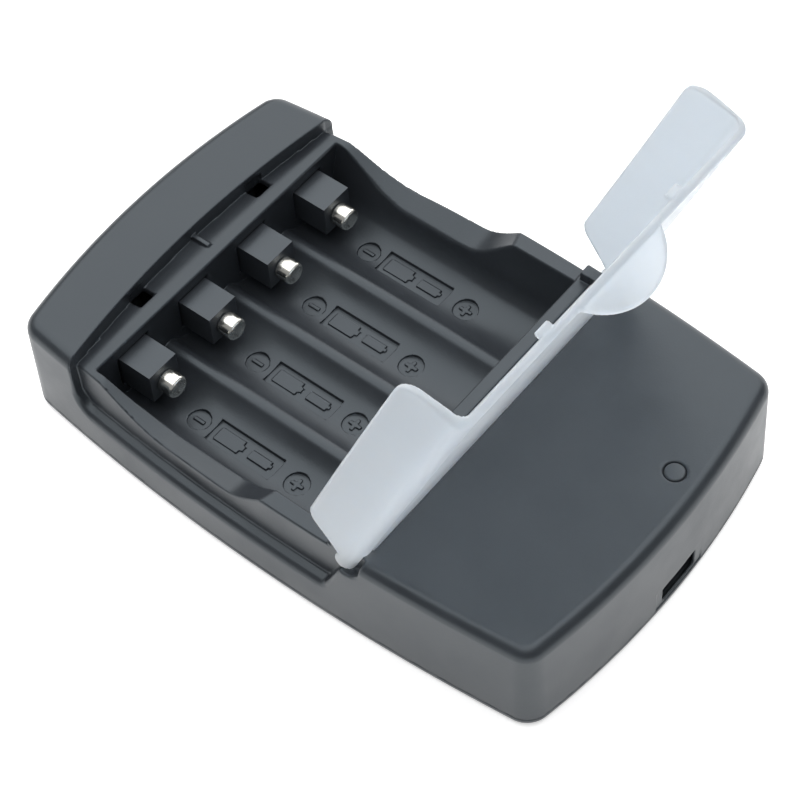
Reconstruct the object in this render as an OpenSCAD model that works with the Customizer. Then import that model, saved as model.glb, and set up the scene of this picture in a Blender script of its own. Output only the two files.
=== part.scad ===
// Four-bay charger for AA and AAA cells, with a hinged see-through cover.
// Millimetres. Origin at the centre of the base, +X towards the cable socket,
// +Y across the troughs, +Z up. The cover is drawn standing open.

/* [Case] */
// Half of the case length at its top edge, on the centre line
half_len = 60.2; // [60:0.05:60.6]
// Half of the case width at its top edge, at mid-length
half_wid = 38.3; // [38.1:0.05:38.8]
// Height of the case
case_h = 22.4; // [22.2:0.05:22.8]
// How far each end bows out
end_bow = 4.6; // [4.3:0.05:4.8]
// How far each side bows out
side_bow = 4.15; // [3.9:0.05:4.3]
// Radius of the four upright corners
corner_r = 4.4; // [4:0.1:6]
// Radius of the rounded top edge
top_r = 2.5; // [1.5:0.1:2.6]
// How much wider the foot of the case is than its top, on each side
draft = 0.5; // [0.3:0.05:0.6]
// Wall thickness of the top housing
wall = 2.0; // [1.9:0.05:2.1]
// Radius of the rounded bottom edge
foot_r = 1.4; // [0.8:0.1:1.5]

/* [Bay] */
// End of the cell bay next to the head
bay_x0 = -39.9; // [-40.2:0.05:-39.8]
// End of the cell bay next to the deck
bay_x1 = 15.5; // [15.4:0.05:15.6]
// Distance between neighbouring troughs
pitch = 16; // [15.9:0.05:16]
// Height of the lowest line of each trough
trough_z = 6.7; // [6.7:0.05:6.9]
// Radius of each trough
trough_r = 9.2; // [9.1:0.05:9.3]
// Radius of the rounded ridge between two troughs
ridge_r = 2.5; // [2.2:0.1:2.6]
// Height of the ledge and the bay walls
ledge_z = 19.9; // [19.7:0.05:20]
// Depth of the side recess that takes the cover's skirt
skirt_recess = 2.2; // [2.1:0.05:2.3]
// Height of the floor of the side recess
recess_z = 10.2; // [9.8:0.05:10.25]

/* [Cover] */
// Hinge axis of the cover, along X
hinge_x = 20.6; // [20.5:0.05:20.7]
// Hinge axis of the cover, height
hinge_z = 20.4; // [20.35:0.05:20.45]
// How far the cover stands open, in degrees from closed
lid_open = 112.35; // [60:0.05:112.35]
// Wall thickness of the cover
lid_t = 1.4; // [1.2:0.05:1.4]
// Distance from the hinge axis to the cover's outer face
lid_out = 1.95; // [1.9:0.01:1.95]
// Distance from the hinge axis to the lower edge of the skirts
lid_in = 10.0; // [9.5:0.1:10]
// Width of the thumb tab
tab_w = 20; // [16:0.5:22]
// Height of the thumb tab
tab_h = 6.0; // [4:0.1:6.2]

/* [Contacts] */
// Front face of the slider blocks with no cell in place
block_x = -32.74; // [-32.9:0.02:-32.6]
// Width and height of the slider blocks
block_w = 7.0; // [6.6:0.1:7]
// Height of the cell axis above the base
cell_z = 13.8; // [13.7:0.05:13.9]
// Height of the contact pins, between the axes of wide and slim cells
pin_z = 13.2; // [13:0.05:13.6]
// Diameter of the contact pins
pin_d = 4.5; // [3.6:0.1:4.6]
// How far the pins stand out of their sliders
pin_out = 3.5; // [3:0.05:3.8]

/* [Socket and light] */
// Position of the cable socket across the end wall
usb_y = 2.0; // [1.5:0.1:2.5]
// Position of the indicator window along the deck
led_x = 53.9; // [53.5:0.1:54]
// Position of the indicator window across the deck
led_y = 8.8; // [8.7:0.1:9.5]
// Diameter of the indicator window
led_d = 4.0; // [3.6:0.1:4]

/* [Hidden] */
$fn = 64;

charcoal = [0.20, 0.22, 0.24];
frosted = [0.82, 0.86, 0.90, 0.75];
nickel = [0.78, 0.77, 0.74];
gold = [0.80, 0.66, 0.36];
rows = [-1.5 * pitch, -0.5 * pitch, 0.5 * pitch, 1.5 * pitch];

base_t = 2.0;                       // seam between base cover and housing
bay_half = 1.5 * pitch + trough_r;  // inner face of the bay's side walls
trough_c = trough_z + trough_r;     // height of the trough axes
ridge_dz = sqrt(pow(trough_r + ridge_r, 2) - pow(pitch / 2, 2));
ridge_c = trough_c - ridge_dz;
tan_z = trough_c - ridge_dz * trough_r / (trough_r + ridge_r);
lid_top = hinge_z + lid_out;
lid_off = -0.25;
step_x = -46.4;                     // edge of the head on the centre line
step_r = 207.8;                     // radius of that edge in plan
deck_x = 23.8;                      // edge of the deck at the hinge
screws = [[50, 26], [50, -26], [-50, 16], [-50, -16]];
usb_z = 5.05;
seat_x = -54.6;                     // face on which the springs seat
floor_z = 5.2;                      // underside of the trough floor

// ---- plan outline: a barrel of four arcs joined by corner arcs ----
e_r = (half_wid * half_wid + end_bow * end_bow) / (2 * end_bow);
s_r = (half_len * half_len + side_bow * side_bow) / (2 * side_bow);
e_c = half_len - e_r;
s_c = half_wid - s_r;
k_d = sqrt(e_c * e_c + s_c * s_c);
k_1 = e_r - corner_r;
k_2 = s_r - corner_r;
k_a = (k_d * k_d + k_1 * k_1 - k_2 * k_2) / (2 * k_d);
k_h = sqrt(k_1 * k_1 - k_a * k_a);
k_x = e_c + k_a * (-e_c / k_d) + k_h * (-s_c / k_d);
k_y = k_a * (s_c / k_d) + k_h * (-e_c / k_d);
a_e = atan2(k_y, k_x - e_c);
a_s = atan2(k_y - s_c, k_x);

function quarter(off) = concat(
  [for (i = [0:3]) let (t = a_e * i / 4) [e_c + (e_r + off) * cos(t), (e_r + off) * sin(t)]],
  [for (i = [0:4]) let (t = a_e + (a_s - a_e) * i / 5) [k_x + (corner_r + off) * cos(t), k_y + (corner_r + off) * sin(t)]],
  [for (i = [0:5]) let (t = a_s + (90 - a_s) * i / 5) [(s_r + off) * cos(t), s_c + (s_r + off) * sin(t)]]);
function ring(off) = let (q = quarter(off), n = len(q)) concat(
  q,
  [for (i = [n - 2:-1:0]) [-q[i][0], q[i][1]]],
  [for (i = [1:n - 1]) [-q[i][0], -q[i][1]]],
  [for (i = [n - 2:-1:1]) [q[i][0], -q[i][1]]]);
// y of the side face at a given x
function side_y(x, off) = s_c + sqrt(pow(s_r + off, 2) - x * x);

module loft(levels) {
  m = len(ring(0));
  n = len(levels);
  pts = [for (l = levels) for (p = ring(l[0])) [p[0], p[1], l[1]]];
  sides = [for (k = [0:n - 2]) for (i = [0:m - 1]) let (j = (i + 1) % m)
    each [[k * m + i, (k + 1) * m + i, (k + 1) * m + j], [k * m + i, (k + 1) * m + j, k * m + j]]];
  polyhedron(points = pts, faces = concat([[for (i = [0:m - 1]) i]],
    [[for (i = [m - 1:-1:0]) (n - 1) * m + i]], sides));
}
module plan(off, z0, z1) translate([0, 0, z0]) linear_extrude(z1 - z0) polygon(ring(off));
module slab(x0, x1, y0, y1, z0, z1) translate([x0, y0, z0]) cube([x1 - x0, y1 - y0, z1 - z0]);
module bar_y(x, z, r, y0, y1) translate([x, y0, z]) rotate([-90, 0, 0]) cylinder(r = r, h = y1 - y0);
module bar_x(y, z, r, x0, x1) translate([x0, y, z]) rotate([0, 90, 0]) cylinder(r = r, h = x1 - x0);
module post(x, y, r, z0, z1) translate([x, y, z0]) cylinder(r = r, h = z1 - z0);
// profile in X and Z, drawn out along Y
module side_profile(pts, y0, y1) translate([0, y1, 0]) rotate([90, 0, 0]) linear_extrude(y1 - y0) polygon(pts);
// the space on the deck side of the head's bowed edge
module inside_step(gap, z0, z1) translate([step_x + step_r, 0, z0]) cylinder(r = step_r - gap, h = z1 - z0, $fn = 360);

// ---- top housing ----
module bay_section() {
  difference() {
    union() {
      for (y = rows) translate([y, trough_c]) circle(r = trough_r);
      translate([-1.5 * pitch, tan_z]) square([3 * pitch, 20]);
      translate([-bay_half, trough_c]) square([2 * bay_half, 20]);
    }
    for (y = [-pitch, 0, pitch]) translate([y, ridge_c]) circle(r = ridge_r);
  }
}
module cavity() {
  intersection() {
    plan(-wall, base_t - 1, case_h - wall);
    union() {
      slab(-70, -48, -50, 50, 0, case_h - wall);
      slab(-48.1, -42.4, -31.3, 31.3, 0, 18);
      slab(-42.5, 26.1, -50, 50, 0, floor_z);
      slab(17.5, 26.1, -33, 33, 0, 16.2);
      slab(26, 70, -50, 50, 0, case_h - wall);
    }
  }
}
module skirt_recess_cut() {
  difference() {
    intersection() {
      inside_step(0, recess_z, 30);
      union() {
        side_profile([[-60, recess_z], [15.6, recess_z], [19.4, 18], [18, 30], [-60, 30]], -45, 45);
        bar_y(hinge_x, hinge_z, 2.8, -45, 45);
        side_profile([[17.8, hinge_z], [hinge_x + 2.8, hinge_z], [deck_x, case_h], [deck_x, 30], [17.8, 30]], -45, 45);
      }
    }
    plan(-skirt_recess, 0, 31);
  }
}
module scoop_cut(s) {
  // finger scoop: a round cutter laid across the side wall, sloping down into the bay
  intersection() {
    translate([-17, s * 13.1, 36.4]) rotate([-s * 47.7, 0, 0]) cylinder(r = 31, h = 90, center = true, $fn = 180);
    slab(-38, 6, min(s * 30, s * 45), max(s * 30, s * 45), 5, 25);
  }
}
module marks(y) {
  post(-25.63, y, 2.2, trough_z - 0.35, trough_z + 3);
  post(-2.66, y, 2.4, trough_z - 0.35, trough_z + 3);
  slab(-22.2, -7.3, y - 2.5, y + 2.5, trough_z - 0.35, trough_z + 3);
}
module mark_signs(y) {
  z0 = trough_z - 0.4; z1 = trough_z - 0.05;
  slab(-26.9, -24.4, y - 0.35, y + 0.35, z0, z1);
  slab(-4.0, -1.3, y - 0.35, y + 0.35, z0, z1);
  slab(-3.01, -2.31, y - 1.35, y + 1.35, z0, z1);
  // two plain cell pictograms, one wide and one slim
  slab(-21.2, -15.6, y - 1.5, y + 1.5, z0, z1);
  slab(-15.7, -15.0, y - 0.6, y + 0.6, z0, z1);
  slab(-13.6, -9.0, y - 1.0, y + 1.0, z0, z1);
  slab(-9.1, -8.5, y - 0.4, y + 0.4, z0, z1);
}
module top_housing() {
  color(charcoal) {
    difference() {
      union() {
        difference() {
          loft(concat([[draft, base_t], [0, case_h - top_r]],
            [for (t = [22.5:22.5:90]) [-top_r * (1 - cos(t)), case_h - top_r + top_r * sin(t)]]));
          cavity();
        }
        for (p = screws) post(p[0], p[1], 3, 5, 19);
        for (p = screws) post(p[0], p[1], 3, 17, case_h - 1);
        for (y = rows) slab(-53.2, -42.3, y - 4.9, y + 4.9, 7.9, 9.7);
        slab(-56.4, seat_x - 0.4, -29, 29, 6.5, case_h - 1);
      }
      // recess for the closed cover
      intersection() {
        inside_step(0, ledge_z, 30);
        union() {
          slab(-50, bay_x1 + 0.01, -45, 45, ledge_z, 30);
          slab(bay_x1, 18.3, -bay_half - 0.2, bay_half + 0.2, hinge_z, 30);
          slab(bay_x1, 16.2, -45, 45, hinge_z, 30);
        }
      }
      // groove at the foot of the head
      intersection() {
        inside_step(0, 18, 31);
        slab(-50, -42.6, -32, 32, 19, 25);
      }
      // cell bay
      translate([bay_x0, 0, 0]) rotate([90, 0, 90]) linear_extrude(bay_x1 - bay_x0) bay_section();
      for (y = rows) {
        slab(-42.6, bay_x0 + 0.1, y - block_w / 2 - 0.25, y + block_w / 2 + 0.25, cell_z - 4, cell_z + 3.5);
        slab(bay_x1 - 0.1, 17.6, y - 1.7, y + 1.7, 9.0, 9.8);
        marks(y);
      }
      // hinge channel and pin holes
      bar_y(hinge_x, hinge_z, 2.3, -bay_half - 0.2, bay_half + 0.2);
      side_profile([[18.2, hinge_z], [hinge_x + 2.3, hinge_z], [deck_x, case_h], [deck_x, 30], [18.2, 30]],
        -bay_half - 0.2, bay_half + 0.2);
      for (s = [-1, 1]) bar_y(hinge_x, hinge_z, 1.35, min(s * 33.9, s * 40), max(s * 33.9, s * 40));
      skirt_recess_cut();
      for (s = [-1, 1]) scoop_cut(s);
      // latch slots
      for (s = [-1, 1]) slab(-45.9, -43.1, s * 16 - 1.95, s * 16 + 1.95, 16, 21);
      // indicator window
      post(led_x, led_y, led_d / 2 + 0.05, 18, 25);
      // cable socket opening and the shallow seat round it
      slab(56, 63, usb_y - 4.7, usb_y + 4.7, 3.2, 6.6);
      difference() {
        slab(57, 63, usb_y - 6.4, usb_y + 6.4, 1, 7.3);
        plan(draft - 0.5, 0, 9);
      }
      for (p = screws) post(p[0], p[1], 1.15, 4, 14);
    }
    for (y = rows) mark_signs(y);
    // small rib in the groove
    slab(-46.3, -42.6, -0.5, 0.5, 18.9, 20.3);
  }
}

// ---- base cover ----
module bottom_cover() {
  color(charcoal) difference() {
    union() {
      loft(concat([for (t = [0:30:60]) [draft - foot_r * (1 - sin(t)), foot_r * (1 - cos(t))]],
        [[draft, foot_r], [draft, base_t]]));
      intersection() {
        difference() {
          plan(-wall - 0.2, base_t - 0.5, 3.6);
          plan(-wall - 1.2, 0, 5);
        }
        slab(-40, 40, -50, 50, 0, 5);
      }
      for (p = screws) post(p[0], p[1], 3.2, base_t - 0.5, 5);
      for (x = [24, 41]) for (y = [-20, 20]) post(x, y, 2, base_t - 0.5, 2.6);
      post(52, 0, 2, base_t - 0.5, 2.6);
    }
    for (p = screws) {
      post(p[0], p[1], 2.5, -1, 3);
      post(p[0], p[1], 1.3, 2, 6);
    }
  }
}
module case_screws() {
  color("silver") for (p = screws) translate([p[0], p[1], 0]) difference() {
    union() {
      translate([0, 0, 1]) cylinder(r = 2.3, h = 2);
      translate([0, 0, 2.9]) cylinder(r = 1.1, h = 8.1);
      translate([0, 0, 11]) cylinder(r1 = 1.1, r2 = 0.3, h = 1.2);
    }
    slab(-1.5, 1.5, -0.35, 0.35, 0, 1.9);
    slab(-0.35, 0.35, -1.5, 1.5, 0, 1.9);
  }
}

// ---- see-through cover, drawn closed and then swung open ----
skirt_low = hinge_z - lid_in;
function skirt_pts() = concat(
  [[-50, lid_top], [-43.6, lid_top]],
  [for (i = [0:4]) let (t = 190 + 80 * i / 4) [-39.2 + 3 * cos(t), skirt_low + 3 + 3 * sin(t)]],
  [for (i = [0:4]) let (t = 270 + 65 * i / 4) [12.6 + 2 * cos(t), skirt_low + 2 + 2 * sin(t)]],
  [[18.2, 17.4], [hinge_x - 1.5, 18.5], [hinge_x, lid_top]]);
module flip_cover_closed() {
  difference() {
    union() {
      intersection() {
        plan(lid_off, lid_top - lid_t, lid_top);
        inside_step(0.3, 0, 30);
        slab(-50, hinge_x, -45, 45, 0, 30);
      }
      intersection() {
        difference() {
          plan(lid_off, 5, lid_top);
          plan(lid_off - lid_t + 0.1, 4, 31);
        }
        inside_step(0.3, 0, 30);
        union() {
          side_profile(skirt_pts(), -45, 45);
          bar_y(hinge_x, hinge_z, 2.2, -45, 45);
        }
      }
      bar_y(hinge_x, hinge_z, lid_out, -33, 33);
    }
    for (s = [-1, 1]) slab(15.7, 26, min(s * 33.1, s * 36.1), max(s * 33.1, s * 36.1), 17, 24);
    slab(10, 26, -45, 45, lid_top, 30);
  }
  for (s = [-1, 1]) {
    bar_y(hinge_x, hinge_z, 1.3, min(s * 34.1, s * 36.9), max(s * 34.1, s * 36.9));
    slab(-45.2, -44, s * 16 - 1.55, s * 16 + 1.55, 19.3, lid_top - 0.5);
  }
  tab_r = (tab_w * tab_w / 4 + tab_h * tab_h) / (2 * tab_h);
  intersection() {
    bar_x(0, lid_top + tab_h - tab_r, tab_r, -45.8, -44.6);
    slab(-50, -40, -20, 20, lid_top - 0.7, 40);
  }
}
module flip_cover() {
  color(frosted) translate([hinge_x, 0, hinge_z]) rotate([0, lid_open, 0])
    translate([-hinge_x, 0, -hinge_z]) flip_cover_closed();
}

// ---- sprung negative contacts ----
module contact_slider(y) {
  color(charcoal) translate([0, y, 0]) difference() {
    union() {
      slab(-42.6, block_x, -block_w / 2, block_w / 2, cell_z - 3.75, cell_z + 3.25);
      slab(-43.9, -42.5, -4.6, 4.6, cell_z - 3.8, cell_z + 3.7);
      bar_x(0, pin_z, 2, -45.6, -43.8);
    }
    bar_x(0, pin_z, 1.28, -50, -30);
  }
}
module negative_pin(y) {
  tip = block_x + pin_out;
  r = pin_d / 2;
  color(nickel) translate([0, y, pin_z]) rotate([0, 90, 0]) rotate_extrude()
    polygon(concat([[0, -45.8], [1.25, -45.8], [1.25, block_x], [r, block_x]],
      [for (i = [0:4]) let (t = 90 * i / 4) [r - 0.5 + 0.5 * cos(t), tip - 0.5 + 0.5 * sin(t)]], [[0, tip]]));
}
// compression spring: a round wire swept along a helix with closed ends
sp_x0 = seat_x + 0.26;
sp_x1 = -43.9 - 0.26;
function helix_x(u) = let (c = u < 0.14 ? 0.046 * u / 0.14 : u > 0.86 ? 0.954 + 0.046 * (u - 0.86) / 0.14 : 0.046 + 0.908 * (u - 0.14) / 0.72)
  sp_x0 + (sp_x1 - sp_x0) * c;
module slider_spring(y) {
  turns = 6.5; per = 12; n = turns * per; sides = 6; rad = 2.7; wire = 0.22;
  pts = [for (i = [0:n]) let (u = i / n, a = 360 * turns * u)
    for (k = [0:sides - 1]) let (b = 360 * k / sides)
      [helix_x(u) + wire * sin(b), y + (rad + wire * cos(b)) * cos(a), pin_z + (rad + wire * cos(b)) * sin(a)]];
  walls = [for (i = [0:n - 1]) for (k = [0:sides - 1]) let (l = (k + 1) % sides)
    each [[i * sides + k, (i + 1) * sides + k, (i + 1) * sides + l], [i * sides + k, (i + 1) * sides + l, i * sides + l]]];
  color(nickel) polyhedron(points = pts, faces = concat([[for (k = [0:sides - 1]) k]],
    [[for (k = [sides - 1:-1:0]) n * sides + k]], walls));
}
module negative_bus_strip() {
  color(nickel) {
    slab(seat_x - 0.4, seat_x, -28, 28, 10.2, 17.4);
    slab(seat_x - 0.4, seat_x, 2.4, 5.6, 3.7, 10.3);
  }
}
module positive_contact(y) {
  color(nickel) translate([0, y, 0]) {
    slab(bay_x1 - 0.4, bay_x1, -3.4, 3.4, 9.2, 18.2);
    intersection() {
      translate([bay_x1 + 1.6, 0, cell_z]) sphere(r = 3);
      slab(bay_x1 - 3, bay_x1, -5, 5, 8, 20);
    }
    slab(bay_x1 - 0.4, 17.9, -1.5, 1.5, 9.2, 9.6);
    slab(17.5, 17.9, -1.5, 1.5, 3.8, 9.6);
    slab(17.5, 20, -1.5, 1.5, 3.8, 4.2);
  }
}

// ---- electronics under the deck ----
module circuit_board() {
  color([0.10, 0.32, 0.20]) translate([0, 0, 2.6]) linear_extrude(1.2)
    polygon([[18.2, -29], [45.5, -29], [45.5, -20], [53, -20], [57.4, -12], [57.4, 12], [53, 20], [45.5, 20], [45.5, 29], [18.2, 29]]);
}
module charge_controller_chip() {
  color([0.08, 0.08, 0.09]) translate([36, -6, 3.8]) {
    slab(-5, 5, -2, 2, 0.1, 1.65);
    for (i = [0:7]) for (s = [-1, 1]) {
      slab(-4.65 + 1.27 * i, -4.24 + 1.27 * i, min(s * 1.9, s * 2.5), max(s * 1.9, s * 2.5), 0.7, 0.9);
      slab(-4.65 + 1.27 * i, -4.24 + 1.27 * i, min(s * 2.3, s * 2.5), max(s * 2.3, s * 2.5), 0, 0.9);
      slab(-4.65 + 1.27 * i, -4.24 + 1.27 * i, min(s * 2.3, s * 3), max(s * 2.3, s * 3), 0, 0.2);
    }
  }
}
module charge_transistors() {
  color([0.08, 0.08, 0.09]) for (y = rows) translate([24.6, y, 3.8]) {
    slab(-1.25, 1.25, -2.25, 2.25, 0, 1.5);
    slab(1.2, 2, -0.9, 0.9, 0, 0.35);
  }
}
module power_inductor() {
  color([0.22, 0.22, 0.23]) translate([44, 9, 3.8]) {
    slab(-3.5, 3.5, -3.5, 3.5, 0, 0.8);
    post(0, 0, 3.3, 0.7, 3.2);
    post(0, 0, 3.45, 3.1, 4);
  }
}
module smoothing_capacitor() {
  color([0.72, 0.73, 0.75]) translate([34, 12, 3.8]) rotate_extrude()
    polygon([[0, 0], [3.2, 0], [3.2, 1.2], [2.9, 1.6], [3.15, 2], [3.15, 7.2], [2.8, 7.5], [0, 7.5]]);
}
module indicator_led() {
  color([0.85, 0.25, 0.2]) translate([led_x, led_y, 3.8]) {
    cylinder(r = 1.9, h = 1);
    cylinder(r = 1.5, h = 3.7);
    translate([0, 0, 3.7]) sphere(r = 1.5);
  }
}
module led_light_pipe() {
  r = led_d / 2;
  dome_r = (r * r + 0.36) / 1.2;
  color([0.36, 0.39, 0.41]) {
    post(led_x, led_y, r, 10.5, case_h);
    post(led_x, led_y, r + 0.8, case_h - wall - 1.2, case_h - wall);
    intersection() {
      translate([led_x, led_y, case_h + 0.6 - dome_r]) sphere(r = dome_r);
      post(led_x, led_y, r, case_h - 0.5, case_h + 2);
    }
  }
}
module ground_lead() {
  color([0.15, 0.15, 0.16]) bar_x(4, 4.42, 0.55, seat_x, 22);
}
function usb_pts(g) = [[-3.75 + g, 1.25 - g], [-3.75 + g, -0.3], [-2.9 + g, -1.25 + g], [2.9 - g, -1.25 + g], [3.75 - g, -0.3], [3.75 - g, 1.25 - g]];
module usb_socket_shell() {
  color(nickel) translate([0, usb_y, usb_z]) difference() {
    translate([54, 0, 0]) rotate([90, 0, 90]) linear_extrude(5.4) polygon(usb_pts(0));
    translate([54.4, 0, 0]) rotate([90, 0, 90]) linear_extrude(6) polygon(usb_pts(0.3));
  }
}
module usb_socket_tongue() {
  color([0.1, 0.1, 0.1]) translate([0, usb_y, usb_z]) {
    slab(54.4, 55.2, -2.5, 2.5, -0.9, 0.9);
    slab(55.1, 58.6, -1.9, 1.9, 0.05, 0.6);
  }
}

top_housing();
bottom_cover();
flip_cover();
contact_slider(rows[0]);  // contact_slider_1
contact_slider(rows[1]);  // contact_slider_2
contact_slider(rows[2]);  // contact_slider_3
contact_slider(rows[3]);  // contact_slider_4
negative_pin(rows[0]);  // negative_pin_1
negative_pin(rows[1]);  // negative_pin_2
negative_pin(rows[2]);  // negative_pin_3
negative_pin(rows[3]);  // negative_pin_4
slider_spring(rows[0]);  // slider_spring_1
slider_spring(rows[1]);  // slider_spring_2
slider_spring(rows[2]);  // slider_spring_3
slider_spring(rows[3]);  // slider_spring_4
positive_contact(rows[0]);  // positive_contact_1
positive_contact(rows[1]);  // positive_contact_2
positive_contact(rows[2]);  // positive_contact_3
positive_contact(rows[3]);  // positive_contact_4
negative_bus_strip();
ground_lead();
circuit_board();
charge_controller_chip();
charge_transistors();
power_inductor();
smoothing_capacitor();
indicator_led();
led_light_pipe();
usb_socket_shell();
usb_socket_tongue();
case_screws();
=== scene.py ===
import math

import bpy
import numpy as np
from mathutils import Matrix, Vector


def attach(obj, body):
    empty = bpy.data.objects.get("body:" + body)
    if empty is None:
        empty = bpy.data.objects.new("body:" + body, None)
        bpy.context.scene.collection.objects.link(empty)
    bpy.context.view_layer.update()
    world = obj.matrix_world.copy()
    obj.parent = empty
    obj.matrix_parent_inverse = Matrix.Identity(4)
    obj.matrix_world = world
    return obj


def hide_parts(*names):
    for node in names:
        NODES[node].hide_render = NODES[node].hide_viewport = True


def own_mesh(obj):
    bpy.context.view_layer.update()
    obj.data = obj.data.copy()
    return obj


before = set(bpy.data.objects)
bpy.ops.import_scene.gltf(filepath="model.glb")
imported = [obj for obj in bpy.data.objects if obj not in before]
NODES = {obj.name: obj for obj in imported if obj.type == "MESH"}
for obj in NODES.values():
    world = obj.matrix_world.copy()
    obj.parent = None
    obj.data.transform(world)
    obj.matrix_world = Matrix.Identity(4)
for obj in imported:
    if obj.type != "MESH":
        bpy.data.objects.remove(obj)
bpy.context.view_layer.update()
MM = 0.001

# ------------------------------------------------------------------ dimensions, in millimetres
HALF_LEN, HALF_WID, CASE_H = 60.2, 38.3, 22.4
END_BOW, SIDE_BOW, CORNER_R = 4.6, 4.15, 4.4
TOP_R, DRAFT, FOOT_R, BASE_T = 2.5, 0.5, 1.4, 2.0
BAY_X0, BAY_X1, PITCH = -39.9, 15.5, 16.0
TROUGH_R, TROUGH_C, RIDGE_R = 9.2, 15.9, 2.0
RIDGE_DZ = math.sqrt((TROUGH_R + RIDGE_R) ** 2 - (PITCH / 2) ** 2)
LEDGE_Z, RECESS_Z, RECESS = 19.9, 10.2, 2.0
HX, HZ, LID_OPEN = 20.6, 20.4, math.radians(112.35)
LID_TOP = HZ + 1.95
STEP_CX, STEP_R = -46.4 + 207.8, 207.8
LED = (53.9, 8.8)
USB_Y = 2.0
SCREWS = [(50, 26), (50, -26), (-50, 16), (-50, -16)]

E_R = (HALF_WID**2 + END_BOW**2) / (2 * END_BOW)
S_R = (HALF_LEN**2 + SIDE_BOW**2) / (2 * SIDE_BOW)
E_C, S_C = HALF_LEN - E_R, HALF_WID - S_R
K_D = math.hypot(E_C, S_C)
K_1, K_2 = E_R - CORNER_R, S_R - CORNER_R
K_A = (K_D**2 + K_1**2 - K_2**2) / (2 * K_D)
K_H = math.sqrt(K_1**2 - K_A**2)
K_X = E_C + K_A * (-E_C / K_D) + K_H * (-S_C / K_D)
K_Y = K_A * (S_C / K_D) + K_H * (-E_C / K_D)
A_E = math.atan2(K_Y, K_X - E_C)
A_S = math.atan2(K_Y - S_C, K_X)


# ------------------------------------------------------------------ distance functions
def rint(a, b, r):
    """both, with the edge rounded to r"""
    a, b = a + r, b + r
    return (
        np.minimum(np.maximum(a, b), 0)
        + np.sqrt(np.maximum(a, 0) ** 2 + np.maximum(b, 0) ** 2)
        - r
    )


def rsub(a, b, r):
    return rint(a, -b, r)


def runi(a, b, r):
    return -rint(-a, -b, r)


def most(*fs):
    out = fs[0]
    for f in fs[1:]:
        out = np.maximum(out, f)
    return out


def least(*fs):
    out = fs[0]
    for f in fs[1:]:
        out = np.minimum(out, f)
    return out


def span(v, lo, hi):
    return np.abs(v - (lo + hi) / 2) - (hi - lo) / 2


def outline(x, y):
    """distance to the barrel-shaped plan"""
    px, py = np.abs(x), np.abs(y)
    d = np.maximum(
        np.sqrt((px - E_C) ** 2 + py**2) - E_R, np.sqrt(px**2 + (py - S_C) ** 2) - S_R
    )
    qx, qy = px - K_X, py - K_Y
    ang = np.arctan2(qy, qx)
    return np.where((ang > A_E) & (ang < A_S), np.sqrt(qx**2 + qy**2) - CORNER_R, d)


def head_edge(x, y, gap=0.0):
    """below zero on the deck side of the head's bowed edge"""
    return np.sqrt((x - STEP_CX) ** 2 + y**2) - (STEP_R - gap)


def row_y(y):
    """distance across from the nearest trough's centre line"""
    return y - (np.clip(np.round((y + 24) / PITCH), 0, 3) * PITCH - 24)


def bay_section(y, z):
    a, b = np.abs(row_y(y)), TROUGH_C - z
    trough = np.sqrt(a**2 + np.maximum(b, 0) ** 2) - TROUGH_R
    ridge = RIDGE_R - np.sqrt((PITCH / 2 - a) ** 2 + (b - RIDGE_DZ) ** 2)
    return np.where((a * RIDGE_DZ > b * PITCH / 2) & (np.abs(y) < 24), ridge, trough)


def polygon(pts, u, v):
    """distance to a closed outline in a plane"""
    d = np.full(np.broadcast(u, v).shape, 1e18)
    s = np.ones(d.shape)
    n = len(pts)
    for i in range(n):
        (ax, ay), (bx, by) = pts[i], pts[i - 1]
        ex, ey = bx - ax, by - ay
        wx, wy = u - ax, v - ay
        t = np.clip((wx * ex + wy * ey) / (ex * ex + ey * ey), 0, 1)
        d = np.minimum(d, (wx - ex * t) ** 2 + (wy - ey * t) ** 2)
        c1, c2, c3 = v >= ay, v < by, ex * wy > ey * wx
        s = np.where((c1 & c2 & c3) | (~c1 & ~c2 & ~c3), -s, s)
    return s * np.sqrt(d)


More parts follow.
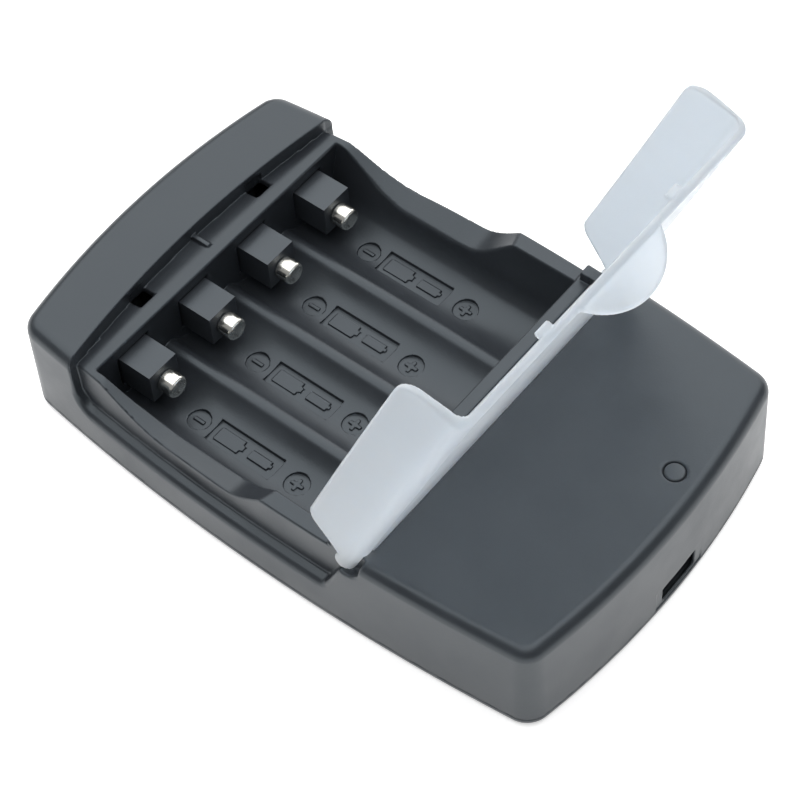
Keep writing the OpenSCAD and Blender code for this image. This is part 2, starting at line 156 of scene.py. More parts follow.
def housing(x, y, z):
    ay = np.abs(y)
    o = outline(x, y)
    yl = row_y(y)
    ayl = np.abs(yl)
    st = head_edge(x, y)
    f = rint(o - DRAFT * np.clip((19.9 - z) / 17.9, 0, 1), z - CASE_H, TOP_R)
    # hollow inside
    cav = least(
        most(x + 48, z - 20.4),
        most(-48.1 - x, x + 42.4, ay - 31.3, z - 18),
        most(-42.5 - x, x - 26.1, z - 5.2),
        most(17.5 - x, x - 26.1, ay - 33, z - 16.2),
        most(26 - x, z - 20.4),
    )
    f = most(f, -most(cav, o + 2.0))
    for px, py in SCREWS:
        f = least(f, most(np.sqrt((x - px) ** 2 + (y - py) ** 2) - 3, 5 - z, z - 21))
    f = least(f, most(span(x, -53.2, -42.3), ayl - 4.9, span(z, 7.9, 9.7)))
    f = least(f, most(span(x, -56.4, -55.0), ay - 29, span(z, 6.5, 21.2)))
    # seat of the closed cover
    seat = most(rint(st, LEDGE_Z - z, 0.1), x - BAY_X1)
    f = rsub(f, seat, 0.3)
    strip = least(
        most(span(x, 15.4, 18.4), ay - 33.4), span(x, 15.4, 16.2) + 0 * ay
    )
    f = rsub(f, most(strip, HZ - z), 0.3)
    dip = np.clip((x + 45.8) / 4.4, 0, 1)
    dip = LEDGE_Z - 0.55 * (1 - dip * dip * (3 - 2 * dip))
    f = most(f, -most(rint(st, dip - z, 0.08), x + 41.3, ay - 36))
    # cell bay
    flare = (ay - 33.25 - 0.27 * (z - LEDGE_Z)) * 0.9655
    bay = rint(bay_section(y, z), flare, 1.0)
    bay = rint(rint(bay, x - BAY_X1, 0.4), BAY_X0 - x, 0.1)
    f = rsub(f, bay, 0.45)
    f = rsub(f, most(span(x, 13.9, 15.5), ay - 26, span(z, 8.0, 16)), 0.5)
    # side recess for the cover's skirts
    l1 = (x - 15.6) * 0.8990 - (z - RECESS_Z) * 0.4380
    l2 = (x - 19.4) * 0.9933 + (z - 18.0) * 0.1159
    sill = (RECESS_Z - 0.4 * (o + 1.55) - z) * 0.93
    prof = rint(rint(np.maximum(l1, l2), sill, 0.8), st, 3.6)
    hub = np.sqrt((x - HX) ** 2 + (z - HZ) ** 2) - 2.8
    hub2 = most(17.8 - x, HZ - z, x - 23.4 - 0.2 * np.clip(z - HZ, 0, 2))
    side = rint(least(prof, hub, hub2), -(o + RECESS), 0.3)
    f = rsub(f, side, 0.45 + 0.5 * np.clip((17 - z) / 4, 0, 1))
    # finger scoops
    u = np.abs(x + 17)
    run = np.where(x < -17, 30.6, 19.0)
    w = np.clip((u - np.where(x < -17, 5.4, 9.0)) / run, 0, 1)
    k = 0.42 - 0.20 * np.clip((u - 6) / 13, 0, 1)
    level = 15.05 + 10.5 * w * w * (3 - 2 * w) + (ay - 35.7) * k
    lean = np.sqrt(1 + k * k + (10.5 / run * 6 * w * (1 - w)) ** 2)
    inner = 29.5 + 2.9 * np.clip((u - 14) / 8, 0, 1)
    f = rsub(f, most((level - z) / lean, inner - ay, span(x, -39.7, 7), span(z, 5, 30)), 0.4)
    # windows for the sliders, slots for the contact tails and the latch
    f = rsub(f, most(ayl - 3.75, span(z, 9.8, 17.3), span(x, -43, -39.7)), 0.15)
    f = most(f, -most(ayl - 1.7, span(z, 9.0, 9.8), span(x, 15.3, 17.7)))
    latch = most(span(x, -46.2, -43.1), np.abs(ay - 16.0) - 1.9, span(z, 16, 21))
    f = rsub(f, latch, 0.2)
    # hinge channel and pin holes
    rh = np.sqrt((x - HX) ** 2 + (z - HZ) ** 2)
    slope = (x - 22.9) * 0.912 - np.minimum(z - HZ, 2.0) * 0.410
    chan = most(least(rh - 2.3, most(18.2 - x, HZ - z, slope)), ay - 33.4)
    f = rsub(f, chan, 0.3)
    f = most(f, -most(rh - 1.35, 33.9 - ay))
    # indicator hole
    rl = np.sqrt((x - LED[0]) ** 2 + (y - LED[1]) ** 2)
    f = rsub(f, most(rl - 1.94, 18 - z), 0.5)
    # cable socket
    usb = rint(np.abs(y - USB_Y) - 4.7, np.abs(z - 4.6) - 2.0, 0.5)
    f = rsub(f, most(usb, 56 - x), 0.12)
    f = most(f, -most(np.abs(y - USB_Y) - 5.6, z - 7.2, 56 - x, o + 0.3))
    rim = most(rint(np.abs(y - USB_Y) - 6.6, z - 7.6, 0.8), 57 - x, 0.31 - o)
    f = rsub(f, rim, 0.1)
    # marks in the trough floors
    d1 = np.sqrt((x + 25.63) ** 2 + yl**2) - 2.2
    d2 = np.sqrt((x + 2.66) ** 2 + yl**2) - 2.4
    lab = most(span(x, -22.2, -7.3), ayl - 2.5)
    f = rsub(f, most(least(d1, d2, lab), 6.35 - z), 0.1)
    signs = least(
        most(span(x, -26.9, -24.4), ayl - 0.38),
        most(span(x, -4.0, -1.3), ayl - 0.38),
        most(span(x, -3.03, -2.29), ayl - 1.35),
        most(span(x, -21.2, -15.6), ayl - 1.5),
        most(span(x, -15.7, -15.0), ayl - 0.6),
        most(span(x, -13.6, -9.0), ayl - 1.0),
        most(span(x, -9.1, -8.5), ayl - 0.4),
    )
    f = least(f, rint(signs, span(z, 5.8, 6.68), 0.1))
    f = runi(f, rint(span(x, -46.3, -42.4), most(ay - 0.55, span(z, 18.5, 20.35)), 0.2), 0.25)
    return rint(f, BASE_T - z, 0.15)


def base_cover(x, y, z):
    o = outline(x, y)
    f = rint(rint(o - DRAFT, -z, FOOT_R), z - BASE_T, 0.15)
    lip = most(span(o, -3.2, -2.2), span(z, 1.5, 3.6), np.abs(x) - 40)
    f = least(f, lip)
    for px, py in SCREWS:
        r = np.sqrt((x - px) ** 2 + (y - py) ** 2)
        f = least(f, most(r - 3.2, span(z, 1.5, 5)))
        f = rsub(f, most(r - 2.5, z - 3), 0.25)
        f = most(f, -(r - 1.3))
    return f


SKIRT_LOW = HZ - 10.0
SKIRT = (
    [(-50, LID_TOP + 3), (-50, LID_TOP), (-43.6, LID_TOP - 2)]
    + [
        (-38.2 + 4 * math.cos(t), SKIRT_LOW + 4 + 4 * math.sin(t))
        for t in np.radians(np.linspace(190, 270, 11))
    ]
    + [
        (11.6 + 4 * math.cos(t), SKIRT_LOW + 4 + 4 * math.sin(t))
        for t in np.radians(np.linspace(270, 326, 10))
    ]
    + [(18.2, 17.4), (HX - 1.5, 18.5), (HX, LID_TOP), (HX, LID_TOP + 3)]
)


def cover(x, y, z):
    """the cover as it lies when closed"""
    ay = np.abs(y)
    o = outline(x, y)
    st = head_edge(x, y, 0.3)
    outer = rint(rint(o + 0.25, z - LID_TOP, 2.6), st, 1.2)
    inner = rint(o + 1.55, z - (LID_TOP - 1.4), 1.9)
    rh = np.sqrt((x - HX) ** 2 + (z - HZ) ** 2)
    keep = least(polygon(SKIRT, x, z), rh - 2.2, LID_TOP - 1.6 - z)
    f = rint(rsub(outer, inner, 0.1), keep, 0.4)
    f = most(f, least(x - HX, rh - 2.2))
    f = runi(f, most(rh - 1.95, ay - 33), 0.4)
    f = rsub(f, most(span(ay, 33.1, 36.1), 15.7 - x, 17 - z), 0.3)
    f = least(f, most(rh - 1.3, span(ay, 34.1, 36.9)))
    hook = rint(span(x, -45.2, -44.0), most(np.abs(ay - 16.0) - 1.55, span(z, 19.7, 21.6)), 0.45)
    f = runi(f, hook, 0.3)
    tab_r = (10.0**2 + 6.0**2) / 12.0
    disc = np.sqrt(y**2 + (z - (LID_TOP + 6.0 - tab_r)) ** 2) - tab_r
    tab = rint(span(x, -45.8, -44.6), most(disc, LID_TOP - 1.0 - z), 0.45)
    return runi(f, tab, 0.4)


# ------------------------------------------------------------------ meshes from the distance functions
def ticks(start, *parts):
    """grid lines: each part is (end, step)"""
    out = [np.array([start])]
    for end, step in parts:
        n = max(1, int(round((end - start) / step)))
        out.append(np.linspace(start, end, n + 1)[1:])
        start = end
    return np.concatenate(out)


def gradient(fn, p, h=0.02):
    g = np.empty_like(p)
    for k in range(3):
        d = np.zeros(3)
        d[k] = h
        a, b = p + d, p - d
        g[:, k] = fn(a[:, 0], a[:, 1], a[:, 2]) - fn(b[:, 0], b[:, 1], b[:, 2])
    return g / (2 * h)


def net(fn, gx, gy, gz):
    """a closed surface net of fn = 0 on a grid, with its points on the surface, and its quads"""
    val = fn(gx[:, None, None], gy[None, :, None], gz[None, None, :]).astype(np.float32)
    inside = val < 0
    n = np.array(val.shape) - 1
    count = np.zeros(n, np.int8)
    for i in (0, 1):
        for j in (0, 1):
            for k in (0, 1):
                count += inside[i : i + n[0], j : j + n[1], k : k + n[2]]
    ci, cj, ck = np.nonzero((count > 0) & (count < 8))
    index = np.full(n, -1, np.int64)
    index[ci, cj, ck] = np.arange(len(ci))
    corners = [(i, j, k) for i in (0, 1) for j in (0, 1) for k in (0, 1)]
    cv = {c: val[ci + c[0], cj + c[1], ck + c[2]] for c in corners}
    axes = (gx, gy, gz)
    cell = (ci, cj, ck)
    total, hits = np.zeros((len(ci), 3)), np.zeros(len(ci))
    for a in corners:
        for k in range(3):
            if a[k]:
                continue
            b = tuple(1 if q == k else a[q] for q in range(3))
            va, vb = cv[a], cv[b]
            cross = (va < 0) != (vb < 0)
            t = np.where(cross, va / np.where(cross, va - vb, 1), 0)
            p = np.empty((len(ci), 3))
            for q in range(3):
                lo, hi = axes[q][cell[q] + a[q]], axes[q][cell[q] + b[q]]
                p[:, q] = lo + (hi - lo) * (t if q == k else 0)
            total += np.where(cross[:, None], p, 0)
            hits += cross
    pts = total / hits[:, None]
    low = np.stack([axes[q][cell[q]] for q in range(3)], 1)
    high = np.stack([axes[q][cell[q] + 1] for q in range(3)], 1)
    room = 0.25 * (high - low)
    for _ in range(4):
        v = fn(pts[:, 0], pts[:, 1], pts[:, 2])
        g = gradient(fn, pts)
        step = v[:, None] * g / np.maximum((g**2).sum(1), 0.2)[:, None]
        pts = np.clip(pts - np.clip(step, -0.25, 0.25), low - room, high + room)
    quads = []
    for k in range(3):
        a, b = [slice(None)] * 3, [slice(None)] * 3
        a[k], b[k] = slice(0, -1), slice(1, None)
        sa, sb = inside[tuple(a)], inside[tuple(b)]
        e = np.nonzero(sa != sb)
        u, w = (k + 1) % 3, (k + 2) % 3
        ok = (e[u] > 0) & (e[u] < n[u]) & (e[w] > 0) & (e[w] < n[w])
        e = [q[ok] for q in e]
        flip = ~sa[tuple(e)]

        def at(du, dw):
            idx = [None] * 3
            idx[k], idx[u], idx[w] = e[k], e[u] - du, e[w] - dw
            return index[tuple(idx)]

        q = np.stack([at(1, 1), at(0, 1), at(0, 0), at(1, 0)], 1)
        q[flip] = q[flip][:, ::-1]
        quads.append(q)
    return pts, np.concatenate(quads)


def unit(v):
    return v / np.maximum(np.linalg.norm(v, axis=1), 1e-9)[:, None]


def add_mesh(name, pts, faces, normals, place=None):
    if place is not None:
        pts = pts @ place[:3, :3].T + place[:3, 3]
        normals = normals @ place[:3, :3].T
    me = bpy.data.meshes.new(name)
    me.vertices.add(len(pts))
    me.vertices.foreach_set("co", (pts * MM).astype(np.float32).ravel())
    size = faces.shape[1]
    me.loops.add(faces.size)
    me.loops.foreach_set("vertex_index", faces.astype(np.int32).ravel())
    me.polygons.add(len(faces))
    me.polygons.foreach_set("loop_start", np.arange(0, faces.size, size, dtype=np.int32))
    me.update(calc_edges=True)
    me.validate()
    me.polygons.foreach_set("use_smooth", np.ones(len(me.polygons), bool))
    me.normals_split_custom_set_from_vertices([tuple(v) for v in normals])
    obj = bpy.data.objects.new(name, me)
    bpy.context.scene.collection.objects.link(obj)
    return obj


def thin_out(pts, faces, hidden, target):
    """fewer faces on the hidden inside: returns points and triangles, with the faces in view as they were"""
    inside = hidden[faces].all(1)
    shown, inner = faces[~inside], faces[inside]
    rim = np.zeros(len(pts), bool)
    rim[shown.ravel()] = True
    belt = rim.copy()
    for _ in range(2):
        belt[inner[belt[inner].any(1)].ravel()] = True
    used = np.unique(inner)
    local = np.full(len(pts), -1)
    local[used] = np.arange(len(used))
    me = bpy.data.meshes.new("work")
    me.from_pydata((pts[used]).tolist(), [], local[inner].tolist())
    obj = bpy.data.objects.new("work", me)
    bpy.context.scene.collection.objects.link(obj)
    group = obj.vertex_groups.new(name="free")
    group.add(np.nonzero(~belt[used])[0].tolist(), 1.0, "REPLACE")
    mod = obj.modifiers.new("thin", "DECIMATE")
    mod.ratio = target / (2.0 * len(inner))
    mod.vertex_group = "free"
    mod.vertex_group_factor = 1000
    dg = bpy.context.evaluated_depsgraph_get()
    out = bpy.data.meshes.new_from_object(obj.evaluated_get(dg))
    out.calc_loop_triangles()
    tri = np.empty(len(out.loop_triangles) * 3, np.int32)
    out.loop_triangles.foreach_get("vertices", tri)
    tri = tri.reshape(-1, 3)
    co = np.empty(len(out.vertices) * 3, np.float32)
    out.vertices.foreach_get("co", co)
    co = co.reshape(-1, 3)
    bpy.data.objects.remove(obj)
    bpy.data.meshes.remove(out)
    # join it again to the faces in view, point to point
    keep = np.unique(shown)
    index = np.full(len(pts), -1)
    index[keep] = np.arange(len(keep))
    edge = np.nonzero(rim & np.isin(np.arange(len(pts)), used))[0]
    names = {}
    for v, i in zip(pts[edge].astype(np.float32).tolist(), edge):
        names.setdefault(tuple(v), []).append(index[i])
    place = np.empty(len(co), np.int64)
    extra, count = [], len(keep)
    for i, v in enumerate(co.tolist()):
        hit = names.get(tuple(v))
        if not hit:
            place[i] = count
            extra.append(co[i])
            count += 1
        else:
            place[i] = hit.pop(0)
    print("rim points", len(edge), "met", len(set(place.tolist()) & set(index[edge].tolist())))
    quads = index[shown]
    tris = np.concatenate([quads[:, [0, 1, 2]], quads[:, [0, 2, 3]], place[tri]])
    return np.concatenate([pts[keep], np.array(extra).reshape(-1, 3)]), tris


y_ticks = ticks(
    -39.8,
    (-31.6, 0.46), (-26.8, 0.6), (-21.2, 0.31), (-10.8, 0.65), (-5.2, 0.31),
    (5.2, 0.65), (10.9, 0.31), (21.2, 0.65), (26.8, 0.31), (31.6, 0.6), (39.8, 0.46),
)
x_ticks = ticks(
    -61.6,
    (-48.2, 0.8), (-39.0, 0.4), (-28.2, 0.8), (-21.8, 0.3), (-7.6, 0.36), (0.2, 0.3), (13.4, 0.85),
    (25.0, 0.42), (51.4, 1.1), (56.4, 0.4), (61.8, 0.45),
)
z_ticks = ticks(1.5, (1.92, 0.42), (2.28, 0.12), (2.6, 0.32), (6.05, 0.5), (7.1, 0.17), (9.4, 0.55), (11.2, 0.42), (18.4, 0.48), (23.0, 0.35))

pts, quads = net(housing, x_ticks, y_ticks, z_ticks)
# what cannot be seen from outside: the inside of the case
edge_gap = outline(pts[:, 0], pts[:, 1])
hidden = (
    (edge_gap < -1.6)
    & (
        (pts[:, 2] < 5.5)
        | ((pts[:, 2] < 20.7) & ((pts[:, 0] > 26.3) | (pts[:, 0] < -47.2)))
        | ((pts[:, 2] < 16.5) & (pts[:, 0] > 17.2))
        | ((pts[:, 2] < 18.3) & (pts[:, 0] < -42.6))
    )
    & ~((np.abs(pts[:, 1] - USB_Y) < 6.5) & (pts[:, 0] > 55) & (pts[:, 2] < 8))
) | ((pts[:, 2] < 2.05) & (edge_gap < -0.3))
# and the plain faces of the top and the walls
socket = (np.abs(pts[:, 1] - USB_Y) < 8.5) & (pts[:, 0] > 50)
lamp_gap = np.hypot(pts[:, 0] - LED[0], pts[:, 1] - LED[1])
plain_top = (
    (pts[:, 2] > CASE_H - 0.02)
    & (edge_gap < -3.2)
    & (lamp_gap > 4)
    & ((pts[:, 0] > 26) | (head_edge(pts[:, 0], pts[:, 1]) > 1.2))
)
plain_wall = (
    (edge_gap > -0.3)
    & (pts[:, 2] > 3.2)
    & ((pts[:, 2] < 8.6) | ((pts[:, 2] < 19) & ((pts[:, 0] < -50) | (pts[:, 0] > 27))))
    & ~socket
)
hidden |= plain_top | plain_wall
print("housing net", len(quads), "in view", int((~hidden[quads].all(1)).sum()))
pts, faces = thin_out(pts, quads, hidden, 30000)
for _ in range(2):
    v = housing(pts[:, 0], pts[:, 1], pts[:, 2])
    g = gradient(housing, pts)
    pts = pts - np.clip(v[:, None] * g / np.maximum((g**2).sum(1), 0.2)[:, None], -0.05, 0.05)
shell = add_mesh("housing_shell", pts, faces, unit(gradient(housing, pts, 0.05)))
print("housing", len(pts), len(faces))

lid_x = ticks(-47.0, (-41.0, 0.36), (9.0, 0.75), (23.6, 0.4))
lid_y = ticks(
    -39.2, (-32.0, 0.36), (-19.0, 0.8), (-12.6, 0.45), (12.6, 0.6), (19.0, 0.45), (32.0, 0.8), (39.2, 0.36)
)
lid_z = ticks(9.6, (17.2, 0.6), (29.0, 0.34))
pts, quads = net(cover, lid_x, lid_y, lid_z)
print("cover net", len(pts), len(quads))
c, s = math.cos(LID_OPEN), math.sin(LID_OPEN)
swing = np.array([[c, 0, s, 0], [0, 1, 0, 0], [-s, 0, c, 0], [0, 0, 0, 1]])
pivot = np.array([HX, 0, HZ])
swing[:3, 3] = pivot - swing[:3, :3] @ pivot
lid = add_mesh("frosted_cover", pts, quads, unit(gradient(cover, pts, 0.05)), swing)

pts, quads = net(
    base_cover,
    ticks(-62.0, (-54.0, 0.7), (-46, 0.45), (46.0, 1.0), (54.0, 0.45), (62.0, 0.7)),
    ticks(-39.8, (-30.0, 0.7), (-22, 0.45), (-20, 0.7), (-12, 0.45), (12, 0.9), (20, 0.45), (22, 0.7), (30, 0.45), (39.8, 0.7)),
    ticks(-0.5, (1.72, 0.3), (2.08, 0.12), (2.4, 0.32), (5.5, 0.45)),
)
print("base net", len(pts), len(quads))
foot = add_mesh("base_shell", pts, quads, unit(gradient(base_cover, pts, 0.05)))


def turned(name, profile, turns=64):
    """a closed body of revolution about x from (position, radius, normal) rings, the ends on the axis"""
    ang = np.arange(turns) * 2 * math.pi / turns
    pts, nrm, faces = [], [], []
    for x, r, (nx, nr) in profile:
        for a in ang:
            pts.append((x, r * math.cos(a), r * math.sin(a)))
            nrm.append((nx, nr * math.cos(a), nr * math.sin(a)))
    for i in range(len(profile) - 1):
        for k in range(turns):
            l = (k + 1) % turns
            a, b, c, d = i * turns + k, i * turns + l, (i + 1) * turns + l, (i + 1) * turns + k
            faces += [(a, b, c), (a, c, d)]
    first, last = len(pts), len(pts) + 1
    pts += [(profile[0][0], 0, 0), (profile[-1][0] + 0.02, 0, 0)]
    nrm += [(-1, 0, 0), (1, 0, 0)]
    end = (len(profile) - 1) * turns
    for k in range(turns):
        l = (k + 1) % turns
        faces += [(first, l, k), (last, end + k, end + l)]
    return np.array(pts, float), np.array(faces), np.array(nrm, float)


def arc(x, r, rad, start, stop, n):
    """rings round a corner centred on (x, r)"""
    return [
        (x + rad * math.sin(t), r + rad * math.cos(t), (math.sin(t), math.cos(t)))
        for t in np.radians(np.linspace(start, stop, n))
    ]


PIN_Z, PIN_R, PIN_X0, PIN_TIP = 13.2, 2.25, -32.74, -29.24
pin_rings = (
    [(-45.8, 0.9, (-1, 0)), (-45.8, 1.0, (-1, 0))]
    + arc(-45.55, 1.0, 0.25, -90, 0, 4)
    + [(PIN_X0, 1.25, (0, 1)), (PIN_X0, 1.25, (-1, 0))]
    + arc(PIN_X0 + 0.3, PIN_R - 0.3, 0.3, -90, 0, 5)
    + arc(PIN_TIP - 0.85, PIN_R - 0.8, 0.8, 0, 78, 10)
    + [(PIN_TIP - 0.03, 1.2, (0.998, 0.06)), (PIN_TIP, 0.4, (1, 0.01))]
)
pins = []
for i, y in enumerate((-24, -8, 8, 24)):
    pts, faces, normals = turned("pin", pin_rings)
    pin = add_mesh("pin_%d" % (i + 1), pts + np.array([0, y, PIN_Z]), faces, normals)
    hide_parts("negative_pin_%d" % (i + 1))
    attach(pin, "slider_%d" % (i + 1))
    pins.append(pin)



def coil(y):
    """a compression spring between its seat and the slider: round wire on a helix with closed ends"""
    turns, per, sides, rad, wire = 6.5, 28, 8, 2.7, 0.22
    n = int(turns * per)
    u = np.arange(n + 1) / n
    share = np.interp(u, (0, 0.14, 0.86, 1), (0, 0.046, 0.954, 1))
    x = SEAT_X + 0.26 + (-43.9 - 0.26 - SEAT_X - 0.26) * share
    a = (2 * math.pi * turns * u)[:, None]
    b = (2 * math.pi * np.arange(sides) / sides)[None]
    nrm = np.stack([np.sin(b) + 0 * a, np.cos(b) * np.cos(a), np.cos(b) * np.sin(a)], 2)
    axis = np.stack([x, y + rad * np.cos(a[:, 0]), PIN_Z + rad * np.sin(a[:, 0])], 1)
    pts = axis[:, None] + wire * nrm
    faces = []
    for i in range(n):
        for k in range(sides):
            l = (k + 1) % sides
            f, g, h, j = i * sides + k, (i + 1) * sides + k, (i + 1) * sides + l, i * sides + l
            faces += [(f, h, g), (f, j, h)]
    end = n * sides
    for k in range(1, sides - 1):
        faces += [(0, k + 1, k), (end, end + k, end + k + 1)]
    return pts.reshape(-1, 3), np.array(faces), nrm.reshape(-1, 3)


SEAT_X = -54.6
coils = []
for i, y in enumerate((-24, -8, 8, 24)):
    spring = add_mesh("spring_%d" % (i + 1), *coil(y))
    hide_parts("slider_spring_%d" % (i + 1))
    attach(spring, "case")
    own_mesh(spring)
    coils.append(spring)

lamp_rings = (
    [(10.5, 1.5, (-1, 0))]
    + arc(10.8, 1.6, 0.3, -90, 0, 4)
    + [(18.8, 1.9, (0, 1)), (18.8, 1.9, (-1, 0)), (18.8, 2.6, (-1, 0)), (18.8, 2.6, (0, 1))]
    + [(20.0, 2.6, (0, 1)), (20.0, 2.6, (1, 0)), (20.0, 1.9, (1, 0)), (20.0, 1.9, (0, 1))]
    + arc(21.9, 1.4, 0.5, 0, 84, 10)
    + [(22.43, 1.0, (0.997, 0.07)), (22.47, 0.4, (0.999, 0.03))]
)
pts, faces, normals = turned("lamp", lamp_rings)
pts = np.stack([LED[0] + pts[:, 1], LED[1] + pts[:, 2], pts[:, 0]], 1)
normals = np.stack([normals[:, 1], normals[:, 2], normals[:, 0]], 1)
lamp = add_mesh("indicator_window", pts, faces, normals)
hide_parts("led_light_pipe")
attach(lamp, "case")

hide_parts("top_housing")
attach(shell, "case")
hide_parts("flip_cover")
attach(lid, "lid")
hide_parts("bottom_cover")
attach(foot, "case")


# ------------------------------------------------------------------ materials
def material(name, colour, rough, metallic=0.0, grain=None, tint=0.12, spread=90.0, rough_spread=0.06, spec=0.5, cool=False):
    """a surface with a slow drift of colour and gloss, and a fine grain as bump"""
    m = bpy.data.materials.new(name)
    m.use_nodes = True
    nt = m.node_tree
    bsdf = nt.nodes["Principled BSDF"]
    bsdf.inputs["Metallic"].default_value = metallic
    bsdf.inputs["Specular IOR Level"].default_value = spec
    if cool:
        bsdf.inputs["Specular Tint"].default_value = (0.82, 0.93, 1.0, 1)
    tc = nt.nodes.new("ShaderNodeTexCoord")
    slow = nt.nodes.new("ShaderNodeTexNoise")
    slow.inputs["Scale"].default_value = spread
    slow.inputs["Detail"].default_value = 4
    nt.links.new(tc.outputs["Object"], slow.inputs["Vector"])
    ramp = nt.nodes.new("ShaderNodeValToRGB")
    ramp.color_ramp.elements[0].position = 0.3
    ramp.color_ramp.elements[1].position = 0.7
    ramp.color_ramp.elements[0].color = tuple(v * (1 - tint) for v in colour) + (1,)
    ramp.color_ramp.elements[1].color = tuple(min(1, v * (1 + tint)) for v in colour) + (1,)
    nt.links.new(slow.outputs["Fac"], ramp.inputs["Fac"])
    nt.links.new(ramp.outputs["Color"], bsdf.inputs["Base Color"])
    rr = nt.nodes.new("ShaderNodeMapRange")
    rr.inputs["From Min"].default_value = 0.3
    rr.inputs["From Max"].default_value = 0.7
    rr.inputs["To Min"].default_value = rough - rough_spread
    rr.inputs["To Max"].default_value = rough + rough_spread
    nt.links.new(slow.outputs["Fac"], rr.inputs["Value"])
    nt.links.new(rr.outputs["Result"], bsdf.inputs["Roughness"])
    if grain:
        fine = nt.nodes.new("ShaderNodeTexNoise")
        fine.inputs["Scale"].default_value = grain[0]
        fine.inputs["Detail"].default_value = 3
        nt.links.new(tc.outputs["Object"], fine.inputs["Vector"])
        bump = nt.nodes.new("ShaderNodeBump")
        bump.inputs["Strength"].default_value = grain[1]
        bump.inputs["Distance"].default_value = grain[2]
        nt.links.new(fine.outputs["Fac"], bump.inputs["Height"])
        nt.links.new(bump.outputs["Normal"], bsdf.inputs["Normal"])
    return m, bsdf


CHARCOAL = (0.0225, 0.0256, 0.0304)
plastic, _ = material("charcoal_satin", CHARCOAL, 0.35, grain=(2600, 0.22, 0.00006), tint=0.10, spec=0.56, cool=True)
slider_mat, _ = material("charcoal_slider", (0.0265, 0.0298, 0.0355), 0.35, grain=(2600, 0.2, 0.00006), tint=0.08, spec=0.62, cool=True)
pipe_mat, _ = material("smoked_window", (0.034, 0.038, 0.043), 0.32, grain=(2600, 0.1, 0.00004), tint=0.05, cool=True)
nickel, _ = material("nickel_plate", (0.84, 0.83, 0.78), 0.22, metallic=1.0, grain=(900, 0.08, 0.00005), tint=0.05, spread=400)
steel, _ = material("bright_wire", (0.62, 0.62, 0.63), 0.3, metallic=1.0, grain=(1500, 0.08, 0.00004), tint=0.06, spread=300)
zinc, _ = material("zinc_screw", (0.55, 0.56, 0.57), 0.34, metallic=1.0, grain=(1200, 0.12, 0.00004), tint=0.08, spread=300)
board_mat, _ = material("solder_mask", (0.02, 0.13, 0.06), 0.4, grain=(900, 0.1, 0.00004), tint=0.15)
chip_mat, _ = material("moulded_chip", (0.02, 0.02, 0.022), 0.55, grain=(2500, 0.2, 0.00004), tint=0.1)
ferrite_mat, _ = material("sintered_ferrite", (0.06, 0.06, 0.064), 0.6, grain=(2500, 0.3, 0.00005), tint=0.15)
can_mat, _ = material("drawn_can", (0.70, 0.71, 0.73), 0.28, metallic=1.0, grain=(900, 0.06, 0.00004), tint=0.05)
led_mat, _ = material("tinted_resin", (0.60, 0.05, 0.04), 0.2, grain=(700, 0.04, 0.00004), tint=0.08)
wire_mat, _ = material("wire_sleeve", (0.02, 0.02, 0.022), 0.55, grain=(1800, 0.2, 0.00004), tint=0.1)
black_mat, _ = material("socket_plastic", (0.014, 0.014, 0.015), 0.5, grain=(2200, 0.15, 0.00004), tint=0.1)

frosted, fb = material("frosted_plastic", (0.65, 0.69, 0.73), 0.36, grain=(1600, 0.12, 0.00005), tint=0.02, rough_spread=0.04)
fb.inputs["Transmission Weight"].default_value = 0.6
fb.inputs["IOR"].default_value = 1.3
fb.inputs["Subsurface Weight"].default_value = 1.0
fb.inputs["Subsurface Radius"].default_value = (0.0030, 0.0033, 0.0036)
fb.inputs["Subsurface Scale"].default_value = 1.0

for o in (shell, foot):
    o.data.materials.append(plastic)
lid.data.materials.append(frosted)
lid.visible_shadow = False
lamp.data.materials.append(pipe_mat)
for o in pins:
    o.data.materials.append(nickel)
for o in coils:
    o.data.materials.append(steel)

looks = {
    "contact_slider": slider_mat, "negative_pin": nickel, "slider_spring": steel, "positive_contact": nickel,
    "negative_bus_strip": nickel, "ground_lead": wire_mat, "circuit_board": board_mat,
    "charge_controller_chip": chip_mat, "charge_transistors": chip_mat, "power_inductor": ferrite_mat,
    "smoothing_capacitor": can_mat, "indicator_led": led_mat, "led_light_pipe": pipe_mat,
    "usb_socket_shell": nickel, "usb_socket_tongue": black_mat, "case_screws": zinc,
}
for name, o in NODES.items():
    for key, mat in looks.items():
        if name.startswith(key):
            o.data.materials.clear()
            o.data.materials.append(mat)
for name in ("contact_slider", "case_screws", "usb_socket_shell", "positive_contact"):
    for node, o in NODES.items():
        if node.startswith(name):
            w = o.modifiers.new("weld", "WELD")
            w.merge_threshold = 0.00001
            b = o.modifiers.new("edge", "BEVEL")
            b.width = 0.00018 if name == "contact_slider" else 0.00008
            b.segments = 2
            b.limit_method = "ANGLE"
            b.angle_limit = math.radians(50)
            b.harden_normals = True

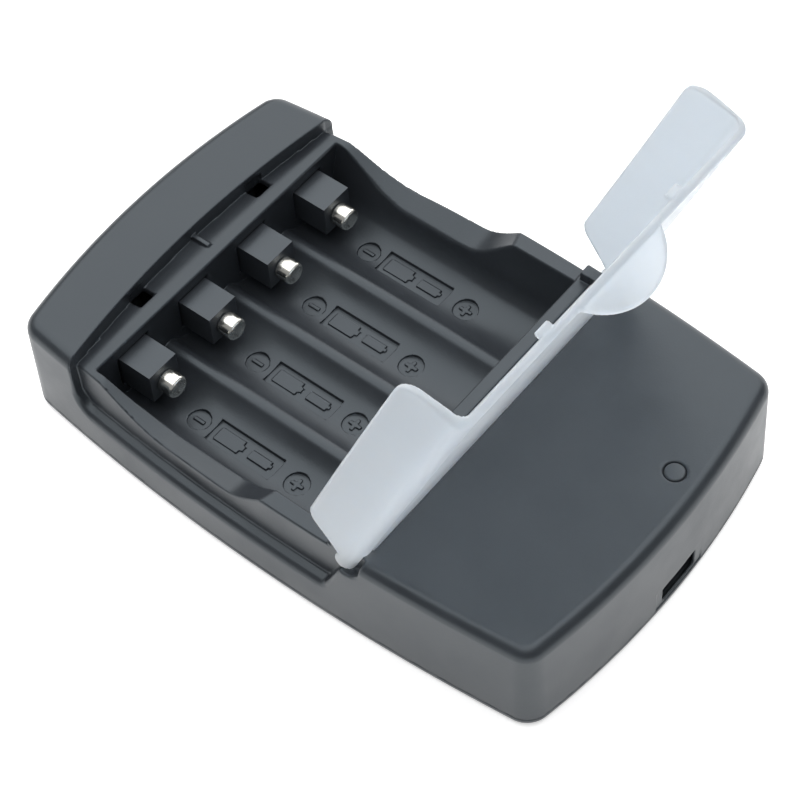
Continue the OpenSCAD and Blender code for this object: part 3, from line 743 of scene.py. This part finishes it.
# ------------------------------------------------------------------ floor, light and camera
bpy.ops.mesh.primitive_plane_add(size=24, location=(0, 0, -0.00004))
floor = bpy.context.object
floor.name = "floor"
fm, fbs = material("pale_floor", (0.92, 0.92, 0.92), 0.8, tint=0.004, spread=3, rough_spread=0.02)
fbs.inputs["Emission Color"].default_value = (1, 1, 1, 1)
fbs.inputs["Emission Strength"].default_value = 0.46
floor.data.materials.append(fm)

world = bpy.data.worlds.new("studio")
bpy.context.scene.world = world
world.use_nodes = True
world.node_tree.nodes["Background"].inputs["Color"].default_value = (1, 1, 1, 1)
world.node_tree.nodes["Background"].inputs["Strength"].default_value = 0.28


def softbox(name, at, to, size, watts, colour=(1, 1, 1)):
    d = bpy.data.lights.new(name, "AREA")
    d.shape = "RECTANGLE"
    d.size, d.size_y = size
    d.energy = watts
    d.color = colour
    o = bpy.data.objects.new(name, d)
    bpy.context.scene.collection.objects.link(o)
    o.location = at
    o.rotation_euler = (Vector(to) - Vector(at)).to_track_quat("-Z", "Y").to_euler()
    return o


softbox("canopy", (-0.8, 0.8, 1.5), (-0.8, 0.8, 0), (3.2, 3.4), 69)
softbox("back", (-0.8, 2.7, 0.8), (0, 0, 0.1), (3.2, 1.1), 20)

cam_data = bpy.data.cameras.new("camera")
cam_data.lens = 2356.97 / 800 * 36
cam_data.sensor_width = 36
cam_data.sensor_fit = "HORIZONTAL"
cam_data.clip_start = 0.01
cam_data.clip_end = 20
cam = bpy.data.objects.new("camera", cam_data)
bpy.context.scene.collection.objects.link(cam)
right, up, back = (
    Vector((0.77724, 0.62717, -0.05051)),
    Vector((-0.48805, 0.65161, 0.58069)),
    Vector((0.39711, -0.42669, 0.81255)),
)
pos = Vector((0.168093, -0.179199, 0.349753))
cam.matrix_world = Matrix(
    (
        (right.x, up.x, back.x, pos.x),
        (right.y, up.y, back.y, pos.y),
        (right.z, up.z, back.z, pos.z),
        (0, 0, 0, 1),
    )
)
bpy.context.scene.camera = cam
bpy.context.scene.view_settings.view_transform = "Standard"
